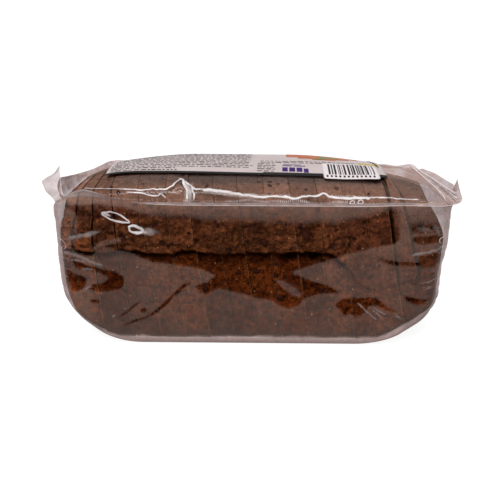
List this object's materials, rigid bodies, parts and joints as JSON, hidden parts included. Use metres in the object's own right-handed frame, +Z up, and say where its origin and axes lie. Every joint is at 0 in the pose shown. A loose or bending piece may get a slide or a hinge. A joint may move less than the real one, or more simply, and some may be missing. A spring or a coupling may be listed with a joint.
{
  "type": "sliced tin loaf in a clear film pack",
  "caption": "Dark sliced tin loaf sealed in a clear film pack with a flange all round, a top label and a small barcode sticker.",
  "frame": {"origin": "on the floor under the middle of the pack, on its flat bottom", "axes": "+X along the loaf towards the end by the barcode sticker, +Y from the front to the back, +Z up"},
  "size_m": [0.2204, 0.108, 0.1018],
  "materials": {
    "wrapped_loaf": "dark bread seen through clear glossy film",
    "film": "clear soft film, glossy, greyish pink where it stands off the bread",
    "crust": "dark brown baked crust, rough and torn in an upper band",
    "label": "printed film label, satin",
    "sticker": "white paper sticker with black bars"
  },
  "bodies": {
    "root": {"pack": "wrapped_loaf", "label": "label", "barcode_sticker": "sticker"}
  },
  "joints": []
}
